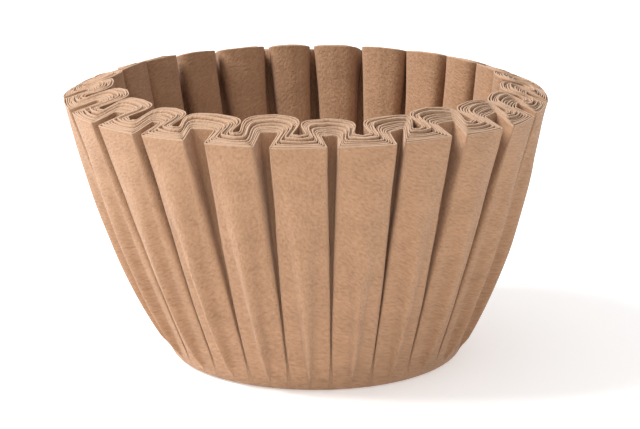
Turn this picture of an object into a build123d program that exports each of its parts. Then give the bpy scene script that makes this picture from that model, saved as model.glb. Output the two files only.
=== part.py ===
"""A nest of flat-bottomed paper coffee filters, each one pleated from a round sheet of paper.

Every filter is one solid: a flat disc with a fluted wall that leans outwards. The filters sit
one inside the next with their discs face to face and their flutes in line. Flute 0 points
along +X, +Z is up, and the underside of the outermost disc lies on z = 0.
"""
from build123d import *
from math import cos, radians, sin, tan
import os

# Nest
filter_count = 12            # filters in the nest, counted from the outside
flute_count = 24             # pleats round each filter
paper = 0.18                 # thickness of the creped paper
rim_pitch = 0.37             # horizontal step from one wall to the next, at the rim

# Outermost filter
base_radius = 33.1           # axis to the crease between disc and wall, at a flute
rim_radius = 53.5            # axis to the outer panels at the rim
rim_height = 58.1            # height of the outer panels' top edge
crease_fold = 0.04           # corner radius of the pleats where they start at the disc
rim_fold = 0.85              # corner radius of the pleats at the rim
crease_depth = 0.15          # radial depth of the pleats where they start
rim_depth_outermost = 5.2    # radial depth of the pleats at the rim, outermost filter
rim_depth_innermost = 5.6    # and innermost filter

# Widths across the flutes
crease_groove = 0.63         # gap between neighbouring flutes of the outermost filter, at the disc
rim_groove = 2.59            # and at the rim
crease_half_innermost = 0.50  # half width of a flute's outer panel, innermost filter, at the disc
rim_half_innermost = 1.80    # and at the rim
crease_neck = 0.10           # how much narrower each half is at the flute's neck, at the disc
rim_neck_outermost = 0.65    # and at the rim, outermost filter
rim_neck_innermost = 0.85    # and innermost filter

# Worked out from the sizes above
half_pitch = 180 / flute_count
crease_half_outermost = base_radius * tan(radians(half_pitch)) - crease_groove / 2
rim_half_outermost = rim_radius * tan(radians(half_pitch)) - rim_groove / 2
lean = (rim_radius - base_radius) / rim_height
crease_pitch = rim_pitch - paper * lean
trim_height = rim_height + 1.2 * rim_depth_outermost

os.makedirs("parts", exist_ok=True)


def between(first, last, share):
    """Value a share of the way from first to last."""
    return first + (last - first) * share


def flute_plan(nest_share, floor, crease, height, inset):
    """Plan of one flute from the axis outwards, at a height on a filter's wall.

    nest_share runs from 0 for the outermost filter to 1 for the innermost. floor is the
    underside of its disc and crease the radius there. inset is 0 for the outer face of the
    paper and the paper's thickness for the inner face.
    """
    rise = (height - floor) / rim_height
    rim_depth = between(rim_depth_outermost, rim_depth_innermost, nest_share)
    crease_half = between(crease_half_outermost, crease_half_innermost, nest_share)
    rim_half = between(rim_half_outermost, rim_half_innermost, nest_share)
    rim_neck = between(rim_neck_outermost, rim_neck_innermost, nest_share)
    crest = crease + lean * (height - floor) - inset
    valley = crest - between(crease_depth, rim_depth, rise)
    crest_half = between(crease_half, rim_half, rise) - inset
    neck_half = crest_half - between(crease_neck, rim_neck, rise)
    fold = between(crease_fold, rim_fold, rise)
    # A valley panel is square to the line between two flutes, where the plan ends
    turn = radians(half_pitch)
    valley_middle = valley * cos(turn) + neck_half * sin(turn)
    before = (valley_middle * cos(turn), -valley_middle * sin(turn))
    after = (valley_middle * cos(turn), valley_middle * sin(turn))
    with BuildSketch(Plane.XY.offset(height)) as plan:
        with BuildLine():
            outline = FilletPolyline(
                before,
                (valley, -neck_half),
                (crest, -crest_half),
                (crest, crest_half),
                (valley, neck_half),
                after,
                radius=fold,
            )
            Polyline(outline @ 1, (0, 0), outline @ 0)
        make_face()
    return plan.sketch


def lies_on_seam(face):
    """True for a face on one of the two planes where neighbouring flutes meet."""
    middle = face.center()
    turn = radians(half_pitch)
    off_plane = abs(middle.X * sin(turn) - abs(middle.Y) * cos(turn))
    return off_plane < 1e-6 and abs(face.normal_at().Z) < 1e-6


def coffee_filter(number):
    """One filter, numbered from 1 on the outside: a flute is lofted, trimmed and repeated."""
    nest_share = (number - 1) / max(filter_count - 1, 1)
    floor = (number - 1) * paper
    crease = base_radius - (number - 1) * crease_pitch

    with BuildPart() as flute:
        # Filled flute, then the hollow inside it, which leaves the paper
        loft(
            [
                flute_plan(nest_share, floor, crease, floor, 0),
                flute_plan(nest_share, floor, crease, trim_height, 0),
            ],
            ruled=True,
        )
        loft(
            [
                flute_plan(nest_share, floor, crease, floor + paper, paper),
                flute_plan(nest_share, floor, crease, trim_height, paper),
            ],
            ruled=True,
            mode=Mode.SUBTRACT,
        )
        # The rim is cut square to the crest, so it rises from there to the valleys
        with BuildSketch(Plane.XZ):
            with BuildLine():
                Polyline(
                    (0, rim_height + rim_radius * lean),
                    (rim_radius + trim_height, rim_height - trim_height * lean),
                    (rim_radius + trim_height, 2 * trim_height),
                    (0, 2 * trim_height),
                    close=True,
                )
            make_face()
        extrude(amount=rim_radius, both=True, mode=Mode.SUBTRACT)

    # Every flute is alike, so the faces of one are set round the axis and sewn into a solid
    faces = flute.faces().filter_by(lies_on_seam, reverse=True)
    with BuildPart() as ring:
        add(Solid(Shell([place * face for place in PolarLocations(0, flute_count) for face in faces])))
    ring.part.label = f"filter_{number:02d}"
    return ring


for number in range(1, filter_count + 1):
    coffee = coffee_filter(number)
    export_step(coffee.part, f"parts/{coffee.part.label}.step")
    print(coffee.part.label, round(coffee.part.volume), "mm3")
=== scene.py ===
"""A nest of fluted paper coffee filters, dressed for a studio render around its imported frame."""
import math

import bpy
import numpy as np
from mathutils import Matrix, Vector


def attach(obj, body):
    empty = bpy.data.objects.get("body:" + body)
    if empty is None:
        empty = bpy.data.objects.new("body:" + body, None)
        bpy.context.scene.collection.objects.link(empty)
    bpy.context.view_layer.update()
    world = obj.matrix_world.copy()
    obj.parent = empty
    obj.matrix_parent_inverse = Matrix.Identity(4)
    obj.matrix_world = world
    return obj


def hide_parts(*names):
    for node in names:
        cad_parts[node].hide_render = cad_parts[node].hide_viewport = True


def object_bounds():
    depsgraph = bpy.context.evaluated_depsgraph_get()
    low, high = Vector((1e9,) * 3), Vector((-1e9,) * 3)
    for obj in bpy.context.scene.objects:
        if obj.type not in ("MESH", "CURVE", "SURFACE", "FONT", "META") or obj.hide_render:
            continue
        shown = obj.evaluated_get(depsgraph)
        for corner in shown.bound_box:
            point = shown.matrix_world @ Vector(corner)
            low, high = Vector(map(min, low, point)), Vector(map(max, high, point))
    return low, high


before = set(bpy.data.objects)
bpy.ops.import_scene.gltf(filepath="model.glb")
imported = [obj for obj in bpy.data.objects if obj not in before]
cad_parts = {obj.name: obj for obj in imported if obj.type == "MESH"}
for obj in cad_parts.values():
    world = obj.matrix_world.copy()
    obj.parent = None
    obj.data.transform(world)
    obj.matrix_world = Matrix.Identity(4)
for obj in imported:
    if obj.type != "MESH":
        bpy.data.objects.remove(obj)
cad_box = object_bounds()


# ---------------------------------------------------------------------------------------------
# The camera. It stands above the rim, well back from the front wall, and looks down at it
# through a long lens. All its distances are shares of the rim's radius.
# ---------------------------------------------------------------------------------------------
rim_radius = (cad_box[1][0] - cad_box[0][0]) / 2
view_turn = math.radians(2.06)
view_tilt = math.radians(14.56)
view_distance = 8.48 * rim_radius
view_sideways = 0.016 * rim_radius
view_height = 0.572 * rim_radius
view_right = Vector((math.cos(view_turn), math.sin(view_turn), 0))
view_target = view_right * view_sideways + Vector((0, 0, view_height))
view_back = Vector((
    math.sin(view_turn) * math.cos(view_tilt),
    -math.cos(view_turn) * math.cos(view_tilt),
    math.sin(view_tilt),
))
camera_data = bpy.data.cameras.new("camera")
camera_data.lens = 113.5
camera_data.sensor_width = 36
camera_data.clip_start = 0.01
camera = bpy.data.objects.new("camera", camera_data)
camera.location = view_target + view_back * view_distance
camera.rotation_euler = (-view_back).to_track_quat("-Z", "Y").to_euler()
bpy.context.scene.collection.objects.link(camera)
bpy.context.scene.camera = camera
bpy.context.scene.view_settings.view_transform = "Standard"


# ---------------------------------------------------------------------------------------------
# The filters' paper. It is unbleached brown filter paper, felted from wood fibres and creped,
# so it is mottled, faintly streaky and matt.
# ---------------------------------------------------------------------------------------------
def build_paper_grain():
    """Node group: sheet coordinates in millimetres in, fibre and mottle masks and a height out."""
    group = bpy.data.node_groups.new("paper_grain", "ShaderNodeTree")
    face = group.interface
    face.new_socket("Sheet", in_out="INPUT", socket_type="NodeSocketVector")
    face.new_socket("Mottle", in_out="OUTPUT", socket_type="NodeSocketFloat")
    face.new_socket("Fibre", in_out="OUTPUT", socket_type="NodeSocketFloat")
    face.new_socket("Fleck", in_out="OUTPUT", socket_type="NodeSocketFloat")
    face.new_socket("Height", in_out="OUTPUT", socket_type="NodeSocketFloat")
    nodes, links = group.nodes, group.links
    source = nodes.new("NodeGroupInput")
    sink = nodes.new("NodeGroupOutput")

    def noise(scale, detail, roughness, stretch, turn):
        mapping = nodes.new("ShaderNodeMapping")
        mapping.inputs["Scale"].default_value = stretch
        mapping.inputs["Rotation"].default_value = (0, 0, math.radians(turn))
        links.new(source.outputs["Sheet"], mapping.inputs["Vector"])
        texture = nodes.new("ShaderNodeTexNoise")
        texture.inputs["Scale"].default_value = scale
        texture.inputs["Detail"].default_value = detail
        texture.inputs["Roughness"].default_value = roughness
        links.new(mapping.outputs["Vector"], texture.inputs["Vector"])
        return texture.outputs["Fac"]

    def ramp(value, low, high):
        node = nodes.new("ShaderNodeMapRange")
        node.inputs["From Min"].default_value = low
        node.inputs["From Max"].default_value = high
        links.new(value, node.inputs["Value"])
        return node.outputs["Result"]

    def blend(operation, first, second):
        node = nodes.new("ShaderNodeMath")
        node.operation = operation
        for socket, value in zip(node.inputs, (first, second)):
            if isinstance(value, (int, float)):
                socket.default_value = value
            else:
                links.new(value, socket)
        return node.outputs["Value"]

    cloud = noise(0.22, 5.0, 0.6, (1, 1, 1), 0)
    grain = noise(1.5, 4.0, 0.62, (1, 1.25, 1), 20)
    streak_a = noise(1.7, 3.0, 0.6, (0.7, 1.7, 1), 38)
    streak_b = noise(1.6, 3.0, 0.6, (0.65, 1.8, 1), -31)
    fleck = noise(2.6, 2.0, 0.5, (0.8, 1.5, 1), 38)
    mottle = blend("ADD", blend("MULTIPLY", ramp(cloud, 0.32, 0.68), 0.45),
                   blend("MULTIPLY", ramp(grain, 0.30, 0.70), 0.55))
    fibre = blend("MULTIPLY", blend("ADD", ramp(streak_a, 0.30, 0.70), ramp(streak_b, 0.30, 0.70)), 0.5)
    links.new(mottle, sink.inputs["Mottle"])
    links.new(fibre, sink.inputs["Fibre"])
    links.new(ramp(fleck, 0.66, 0.78), sink.inputs["Fleck"])
    links.new(blend("ADD", blend("MULTIPLY", mottle, 0.5), blend("MULTIPLY", fibre, 0.5)),
              sink.inputs["Height"])
    return group


def kraft_paper(name, paper_dark, paper_mid, paper_pale, cut_colour, grain_depth):
    """Material: three browns mixed by the grain's masks, with their own colour on the cut rim."""
    material = bpy.data.materials.new(name)
    material.use_nodes = True
    nodes, links = material.node_tree.nodes, material.node_tree.links
    shader = nodes["Principled BSDF"]
    sheet = nodes.new("ShaderNodeUVMap")
    sheet.uv_map = "sheet"
    to_mm = nodes.new("ShaderNodeMapping")
    to_mm.inputs["Scale"].default_value = (1000, 1000, 1000)
    links.new(sheet.outputs["UV"], to_mm.inputs["Vector"])
    grain = nodes.new("ShaderNodeGroup")
    grain.node_tree = paper_grain
    links.new(to_mm.outputs["Vector"], grain.inputs["Sheet"])

    def mixed(factor, first, second, amount=1.0):
        scale = nodes.new("ShaderNodeMath")
        scale.operation = "MULTIPLY"
        scale.inputs[1].default_value = amount
        links.new(factor, scale.inputs[0])
        mix = nodes.new("ShaderNodeMix")
        mix.data_type = "RGBA"
        links.new(scale.outputs["Value"], mix.inputs["Factor"])
        for socket, value in ((mix.inputs[6], first), (mix.inputs[7], second)):
            if isinstance(value, tuple):
                socket.default_value = (*value, 1)
            else:
                links.new(value, socket)
        return mix.outputs[2]

    colour = mixed(grain.outputs["Mottle"], paper_dark, paper_mid)
    colour = mixed(grain.outputs["Fibre"], colour, paper_pale, 0.55)
    colour = mixed(grain.outputs["Fleck"], colour, paper_dark, 0.5)
    rim = nodes.new("ShaderNodeAttribute")
    rim.attribute_name = "cut_edge"
    colour = mixed(rim.outputs["Fac"], colour, cut_colour, 0.75)
    links.new(colour, shader.inputs["Base Color"])
    rough = nodes.new("ShaderNodeMapRange")
    rough.inputs["To Min"].default_value = 0.98
    rough.inputs["To Max"].default_value = 0.82
    links.new(grain.outputs["Fibre"], rough.inputs["Value"])
    links.new(rough.outputs["Result"], shader.inputs["Roughness"])
    shader.inputs["Specular IOR Level"].default_value = 0.22
    shader.inputs["Sheen Weight"].default_value = 0.12
    shader.inputs["Sheen Roughness"].default_value = 0.6
    bump = nodes.new("ShaderNodeBump")
    bump.inputs["Strength"].default_value = 1.0
    bump.inputs["Distance"].default_value = grain_depth
    links.new(grain.outputs["Height"], bump.inputs["Height"])
    links.new(bump.outputs["Normal"], shader.inputs["Normal"])
    return material


paper_grain = build_paper_grain()
paper = kraft_paper(
    "kraft_filter_paper",
    paper_dark=(0.225, 0.110, 0.051),
    paper_mid=(0.385, 0.210, 0.114),
    paper_pale=(0.55, 0.342, 0.209),
    cut_colour=(0.46, 0.305, 0.205),
    grain_depth=0.00022,
)


# ---------------------------------------------------------------------------------------------
# The filters. Each is one round sheet of paper pressed over a fluted former: a flat disc, a
# rounded crease and a wall of pleats that deepen towards the rim. Pressed as one stack, they
# share every unevenness, and only their spacing and the height of their cut edges differ.
# ---------------------------------------------------------------------------------------------
filter_names = sorted(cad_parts)
flute_count = 24
sheet_thickness = 0.00018
disc_step = 0.00018                    # discs lie face to face
crease_radius = 0.0323
crease_round = 0.0024
wall_slope_at_crease = math.radians(65)
rim_height = 0.0581
rim_rise = 0.33                        # the rim climbs this much for each step inwards
wall_bulge = 0.0010
nest_lean = -view_right * 0.00193      # the soft cups lean to one side at the rim
widest_cut = 0.46                      # a rounded corner takes at most this share of a side

# From the outermost filter to the innermost, at the crease and what the climb to the rim adds
nest_inset, nest_inset_gain = 0.00340, 0.00070
nest_narrowing, nest_narrowing_gain = 0.00320, 0.00076

# The pleats: how deep they are at the rim, how open their grooves are, how far the necks pull in
pleat_depth, pleat_depth_gain, pleat_depth_least = 0.0052, 0.0004, 0.00006
groove_width, groove_width_gain, groove_width_foot = 0.00030, 0.0023, 0.0013
neck_inset, neck_inset_gain, neck_inset_foot = 0.00062, 0.00030, 0.00030

# How far their corners are rounded, and how much the outer panels bow
crest_cut_foot, crest_cut_loss, crest_cut_inner = 0.0036, 0.0032, 0.0009
neck_cut_outer, neck_cut_gain = 0.00060, 0.00250
panel_bow_least, panel_bow_gain = 0.0003, 0.0078

dice = np.random.default_rng(24)
flute_turn = dice.normal(0, math.radians(0.40), flute_count)
flute_widen = dice.normal(0, 0.00022, flute_count)
flute_reach = dice.normal(0, 0.00028, flute_count)
left_corner_reach = dice.normal(0, 0.00022, flute_count)
right_corner_reach = dice.normal(0, 0.00022, flute_count)
lobe_shift = dice.normal(0.0002, 0.00045, flute_count)
lobe_overhang = dice.normal(0.0010, 0.00045, flute_count)
lobe_pinch = dice.uniform(0.0, 0.00075, flute_count)
lobe_reach = dice.normal(0, 0.00035, flute_count)
lobe_puff = dice.normal(0.0008, 0.00025, flute_count)
flute_turn[16:21] = np.radians((1.1, 0.5, -1.2, -0.9, 0.2))   # five pleats on the left
flute_widen[16:21] = (-0.0010, -0.0004, 0.0000, 0.0002, 0.0002)
spacing_swing = dice.uniform(0.10, 0.26, flute_count)
spacing_phase = dice.uniform(0, 2 * math.pi, flute_count)


def rounded_corner(before, corner, after, cut, steps):
    """Points of a quadratic arc that cuts a corner at a distance along both its sides."""
    first = before - corner
    last = after - corner
    first_length = np.linalg.norm(first, axis=-1, keepdims=True)
    last_length = np.linalg.norm(last, axis=-1, keepdims=True)
    start = corner + first * np.minimum(cut / first_length, widest_cut)
    end = corner + last * np.minimum(cut / last_length, widest_cut)
    share = np.linspace(0, 1, steps)
    return [(1 - q) ** 2 * start + 2 * q * (1 - q) * corner + q ** 2 * end for q in share]


def straight_run(start, end, steps, bow):
    """Points between two ends, bowed sideways by a parabola of the given height."""
    along = end - start
    side = np.stack([along[..., 1], -along[..., 0]], -1)
    side = side / np.maximum(np.linalg.norm(side, axis=-1, keepdims=True), 1e-9)
    share = np.arange(1, steps + 1) / (steps + 1)
    return [start + along * q + side * bow * 4 * q * (1 - q) for q in share]


def pleated_ring(crest, climb, nest_share, corner_steps, panel_steps):
    """Plan of the pleats at each height: for every flute a valley, two neck corners and two
    crest corners, all rounded, turned to the flute's place round the axis.

    crest is the radius of the outermost filter's outer panels and climb the share of the wall
    climbed, both one per height. nest_share is 0 for the outermost filter and 1 for the innermost.
    """
    crest = crest[:, None]
    climb = climb[:, None]
    # swing is the share of the way in, uneven from flute to flute but 0 and 1 at its two ends
    wave = np.sin(2 * math.pi * nest_share + spacing_phase) - np.sin(spacing_phase)
    swing = nest_share + spacing_swing * wave / (2 * math.pi)
    deep = climb ** 1.05
    own_crest = crest - swing * (nest_inset + nest_inset_gain * climb) + flute_reach * deep
    depth = (pleat_depth + pleat_depth_gain * swing) * deep + pleat_depth_least
    half_pitch = crest * math.tan(math.pi / flute_count)
    groove = groove_width + groove_width_gain * climb ** 2.2 + groove_width_foot * np.exp(-climb / 0.05)
    narrowing = swing * (nest_narrowing + nest_narrowing_gain * climb)
    crest_half = half_pitch - groove / 2 - narrowing + flute_widen * climb ** 2
    neck = (neck_inset + neck_inset_gain * swing) * climb - neck_inset_foot * np.exp(-climb / 0.04)
    even_turn = np.arange(flute_count) * 2 * math.pi / flute_count - math.pi / 2
    turn = even_turn + flute_turn * climb ** 1.5

    def placed(radial, tangential):
        x = radial * np.cos(turn) - tangential * np.sin(turn)
        y = radial * np.sin(turn) + tangential * np.cos(turn)
        return np.stack([x, y], -1)

    before_shift = (np.roll(lobe_shift, 1) + np.roll(lobe_overhang, 1)) * climb ** 2
    after_shift = lobe_shift * climb ** 2
    before_reach = np.roll(lobe_reach, 1) * climb ** 2
    after_reach = lobe_reach * climb ** 2
    pinch = lobe_pinch * nest_share * climb ** 2
    neck_left = placed(own_crest - depth + before_reach, -(crest_half - neck - pinch) + before_shift)
    neck_right = placed(own_crest - depth + after_reach, crest_half - neck - pinch + after_shift)
    crest_left = placed(own_crest + left_corner_reach * deep, -crest_half)
    crest_right = placed(own_crest + right_corner_reach * deep, crest_half)
    valley_after = (neck_right + np.roll(neck_left, -1, axis=1)) / 2
    puff = (0.10 + 0.90 * nest_share) * (lobe_puff * climb)
    inwards = -valley_after / np.linalg.norm(valley_after, axis=-1, keepdims=True)
    valley_after = valley_after + inwards * puff[..., None]
    valley_before = np.roll(valley_after, 1, axis=1)

    crest_cut = crest_cut_foot - crest_cut_loss * climb[..., None] ** 2.2
    crest_cut = crest_cut + crest_cut_inner * min(nest_share * 4, 1)
    neck_cut = neck_cut_outer + neck_cut_gain * nest_share
    panel_bow = (panel_bow_least + panel_bow_gain * climb ** 0.7 * (1 - climb) ** 1.2)[..., None]
    left_neck_end = rounded_corner(valley_before, neck_left, crest_left, neck_cut, corner_steps)
    left_crest_end = rounded_corner(neck_left, crest_left, crest_right, crest_cut, corner_steps)
    right_crest_end = rounded_corner(crest_left, crest_right, neck_right, crest_cut, corner_steps)
    right_neck_end = rounded_corner(crest_right, neck_right, valley_after, neck_cut, corner_steps)
    points = [valley_before]
    points += straight_run(valley_before, left_neck_end[0], 2, 0)
    points += left_neck_end
    points += straight_run(left_neck_end[-1], left_crest_end[0], 2, 0)
    points += left_crest_end
    points += straight_run(left_crest_end[-1], right_crest_end[0], panel_steps, panel_bow)
    points += right_crest_end
    points += straight_run(right_crest_end[-1], right_neck_end[0], 2, 0)
    points += right_neck_end
    points += straight_run(right_neck_end[-1], valley_after, 2, 0)
    ring = np.stack(points, axis=2)
    return ring.reshape(len(crest), -1, 2)


def sheet_profile(wall_rows, disc_rows, crease_rows):
    """Radius, height, wall share and sheet distance of the outermost crest line, from the disc's
    middle outwards: a flat, an arc round the crease, then the leaning wall with its bulge."""
    arc_middle = crease_radius - crease_round * math.tan(wall_slope_at_crease / 2)
    flat = np.linspace(0.02, 1, disc_rows, endpoint=False) * arc_middle
    angle = np.linspace(0, wall_slope_at_crease, crease_rows, endpoint=False)
    arc_radius = arc_middle + crease_round * np.sin(angle)
    arc_height = crease_round * (1 - np.cos(angle))
    foot_radius = arc_middle + crease_round * math.sin(wall_slope_at_crease)
    foot_height = crease_round * (1 - math.cos(wall_slope_at_crease))
    wall_radius = foot_radius + (rim_radius - foot_radius) * wall_rows
    wall_radius = wall_radius + wall_bulge * 4 * wall_rows * (1 - wall_rows)
    wall_height = foot_height + (rim_height - foot_height) * wall_rows
    radius = np.concatenate([flat, arc_radius, wall_radius])
    height = np.concatenate([np.zeros(disc_rows), arc_height, wall_height])
    climb = np.concatenate([np.zeros(disc_rows + crease_rows), wall_rows])
    steps = np.hypot(np.diff(radius), np.diff(height))
    distance = radius[0] + np.concatenate([[0], np.cumsum(steps)])
    return radius, height, climb, distance


def smooth_waves(count, waves, seed):
    """A closed, smooth random curve: a few sine waves round the rim with random phases."""
    own_dice = np.random.default_rng(seed)
    around = np.linspace(0, 2 * math.pi, count, endpoint=False)[:, None]
    phase = own_dice.uniform(0, 2 * math.pi, len(waves))
    size = own_dice.uniform(0.4, 1.0, len(waves))
    return (np.sin(around * np.array(waves) + phase) * size).sum(1) / len(waves) ** 0.5


def shell_normals(grid, disc_rows):
    """Unit normals of a closed ring grid, from the cross product of its two directions."""
    around = np.roll(grid, -1, axis=1) - np.roll(grid, 1, axis=1)
    up = np.gradient(grid, axis=0)
    normal = np.cross(around, up)
    normal /= np.maximum(np.linalg.norm(normal, axis=-1, keepdims=True), 1e-12)
    normal[:disc_rows + 1] = (0, 0, -1)
    return normal


def wrinkles(place, climb):
    """Height of the wrinkles over the wall: long soft waves up each pleat, and a few narrow
    creases, each a ridge of Gaussian section that runs a little aslant and fades at its ends."""
    soft = 0
    for size, around, up, phase in soft_waves:
        soft = soft + size * np.sin(2 * math.pi * (place * around + up * climb) + phase)
    height = soft * climb * (1.2 - climb)
    for middle, slant, low, high, size in wrinkle_lines:
        line = place - middle - slant * (climb - 0.5)
        fade = np.clip((climb - low) / 0.12, 0, 1) * np.clip((high - climb) / 0.12, 0, 1)
        height = height + size * np.exp(-(line / 0.045) ** 2) * fade
    return height


def sheet_surface(number, radius, height, climb, disc_rows, corner_steps, panel_steps):
    """The outer and the inner face of one filter, each a grid of points: rows from the disc's
    middle to the rim, columns round the axis."""
    nest_share = number / (len(filter_names) - 1)
    ring = pleated_ring(np.maximum(radius, crease_radius), climb, nest_share, corner_steps, panel_steps)
    disc_shrink = np.where(radius < crease_radius, radius / crease_radius, 1.0)
    plan = ring * disc_shrink[:, None, None]
    count = plan.shape[1]

    # The disc is a true circle, and the pleats grow out of it just above the crease
    reach = np.linalg.norm(plan, axis=-1, keepdims=True)
    even_reach = reach.mean(axis=1, keepdims=True)
    pleated = np.clip(climb / 0.06, 0, 1)[:, None, None]
    pleated = pleated * pleated * (3 - 2 * pleated)
    plan = plan * (1 + (even_reach / reach - 1) * (1 - pleated))
    reach = np.linalg.norm(plan, axis=-1)

    ragged = smooth_waves(count, [3, 7, 24, 31, 48, 61], 100 + number) * 0.00016
    ragged = ragged + dice_rim[number]
    near_rim = np.clip((climb - 0.82) / 0.18, 0, 1)[:, None] ** 2
    lift = climb[:, None] * rim_rise * np.maximum(radius[:, None] - reach, 0)
    z = height[:, None] + lift + number * disc_step * (1 - climb[:, None]) + near_rim * ragged
    lean = np.array(nest_lean[:2]) * climb[:, None, None]
    outer = np.concatenate([plan + lean, z[..., None]], -1)

    place = np.linspace(0, flute_count, count, endpoint=False)[None, :]
    normal = shell_normals(outer, disc_rows)
    outer = outer + normal * wrinkles(place, climb[:, None])[..., None]
    normal = shell_normals(outer, disc_rows)
    swell = sheet_thickness * (0.95 + 0.45 * climb ** 3)
    return outer, outer - normal * swell[:, None, None]


def shell_faces(rows, count):
    """Faces of a closed shell whose points are the outer grid, the inner grid and two middles."""
    row = np.arange(rows - 1)[:, None]
    column = np.arange(count)
    beside_column = (column + 1) % count
    to_inner = rows * count
    here = row * count + column
    beside = row * count + beside_column
    outside = np.stack([here, beside, beside + count, here + count], -1).reshape(-1, 4)
    inside = outside[:, ::-1] + to_inner
    edge_here = (rows - 1) * count + column
    edge_beside = (rows - 1) * count + beside_column
    edge = np.stack([edge_here, edge_beside, edge_beside + to_inner, edge_here + to_inner], -1)
    middle = 2 * to_inner
    middle_outside = np.stack([np.full(count, middle), beside_column, column], -1)
    middle_inside = np.stack([np.full(count, middle + 1), column + to_inner, beside_column + to_inner], -1)
    quads = np.concatenate([outside, inside, edge]).tolist()
    return quads + middle_outside.tolist() + middle_inside.tolist()


def mark_sheet(mesh, number, distance, count):
    """Store where each point lies on the flat sheet, and which points are on the cut edge."""
    sheet_middle = np.array([0.37 * number, 0.21 * number])
    spin = np.linspace(0, 2 * math.pi, count, endpoint=False)
    flat = np.stack([distance[:, None] * np.cos(spin), distance[:, None] * np.sin(spin)], -1)
    flat = flat.reshape(-1, 2) + sheet_middle
    flat = np.concatenate([flat, flat, [sheet_middle, sheet_middle]])
    corner_points = np.empty(len(mesh.loops), np.int32)
    mesh.loops.foreach_get("vertex_index", corner_points)
    sheet_map = mesh.uv_layers.new(name="sheet")
    sheet_map.data.foreach_set("uv", flat[corner_points].astype(np.float32).ravel())
    cut = np.zeros((len(distance), count), np.float32)
    cut[-1] = 1
    cut = np.concatenate([cut.ravel(), cut.ravel(), [0, 0]]).astype(np.float32)
    mesh.attributes.new("cut_edge", "FLOAT", "POINT").data.foreach_set("value", cut)


def build_filter(name, number, wall_rows, disc_rows, crease_rows, corner_steps, panel_steps):
    """One filter as a closed shell: the pleated rings of its outer face, the same rings moved in
    by the paper's thickness along the surface normal, and a strip that joins them at the rim."""
    radius, height, climb, distance = sheet_profile(wall_rows, disc_rows, crease_rows)
    outer, inner = sheet_surface(number, radius, height, climb, disc_rows, corner_steps, panel_steps)
    rows, count = outer.shape[:2]
    lowest = number * disc_step
    middles = [[0, 0, lowest], [0, 0, lowest + sheet_thickness]]
    vertices = np.concatenate([outer.reshape(-1, 3), inner.reshape(-1, 3), middles])
    mesh = bpy.data.meshes.new(name)
    mesh.from_pydata(vertices.tolist(), [], shell_faces(rows, count))
    mark_sheet(mesh, number, distance, count)
    mesh.polygons.foreach_set("use_smooth", np.ones(len(mesh.polygons), bool))
    mesh.materials.append(paper)
    mesh.update()
    piece = bpy.data.objects.new(name, mesh)
    bpy.context.scene.collection.objects.link(piece)
    return piece


# The wrinkles. Soft waves: size, waves a flute, waves up the wall, phase. Wrinkle lines: place
# round the rim, slant, lower and upper end, size.
soft_waves = (
    (0.00009, 1.37, 1.9, 0.0),
    (0.00007, 2.91, -2.7, 1.0),
    (0.00006, 0.53, 4.3, 2.0),
)
wrinkle_lines = [
    (dice.uniform(0, flute_count), dice.normal(0, 0.10), dice.uniform(0.1, 0.5),
     dice.uniform(0.7, 1.1), dice.choice([-1, 1]) * dice.uniform(0.00012, 0.00032))
    for crease in range(60)
]
dice_rim = dice.normal(0, 0.00022, len(filter_names))
fine_wall = np.concatenate([np.linspace(0, 0.12, 8, endpoint=False),
                            np.linspace(0.12, 0.9, 20, endpoint=False),
                            np.linspace(0.9, 0.985, 6, endpoint=False), [0.985, 0.996, 1.0]])
plain_wall = np.array([0, 0.05, 0.12, 0.25, 0.4, 0.55, 0.7, 0.82, 0.92, 0.985, 1.0])
for number, node in enumerate(filter_names):
    seen_all_over = number in (0, len(filter_names) - 1)
    if seen_all_over:
        piece = build_filter("paper_" + node, number, fine_wall, 5, 6, 6, 8)
    else:
        piece = build_filter("paper_" + node, number, plain_wall, 2, 3, 4, 3)
    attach(piece, "root")
    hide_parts(node)


# ---------------------------------------------------------------------------------------------
# The studio: a white floor that glows a little, a broad soft lamp high on the left, and an even
# white surround.
# ---------------------------------------------------------------------------------------------
floor_size = 12.0
floor_mesh = bpy.data.meshes.new("floor")
floor_mesh.from_pydata(
    [(-floor_size, -floor_size, 0), (floor_size, -floor_size, 0),
     (floor_size, floor_size, 0), (-floor_size, floor_size, 0)],
    [], [(0, 1, 2, 3)])
floor = bpy.data.objects.new("floor", floor_mesh)
bpy.context.scene.collection.objects.link(floor)
floor_white = bpy.data.materials.new("studio_white")
floor_white.use_nodes = True
floor_look = floor_white.node_tree.nodes["Principled BSDF"].inputs
floor_look["Base Color"].default_value = (0.85, 0.85, 0.85, 1)
floor_look["Roughness"].default_value = 0.9
floor_look["Emission Color"].default_value = (1, 1, 1, 1)
floor_look["Emission Strength"].default_value = 0.40
floor_mesh.materials.append(floor_white)

surround = bpy.data.worlds.new("surround")
surround.use_nodes = True
surround_look = surround.node_tree.nodes["Background"].inputs
surround_look["Color"].default_value = (1, 1, 1, 1)
surround_look["Strength"].default_value = 0.72
bpy.context.scene.world = surround


def soft_lamp(name, place, size, power):
    """A square area lamp, aimed at the middle of the nest."""
    data = bpy.data.lights.new(name, "AREA")
    data.size = size
    data.energy = power
    lamp = bpy.data.objects.new(name, data)
    lamp.location = place
    lamp.rotation_euler = (Vector((0, 0, 0.03)) - Vector(place)).to_track_quat("-Z", "Y").to_euler()
    bpy.context.scene.collection.objects.link(lamp)


soft_lamp("window_left", (-0.84, -0.12, 1.00), 0.6, 25)
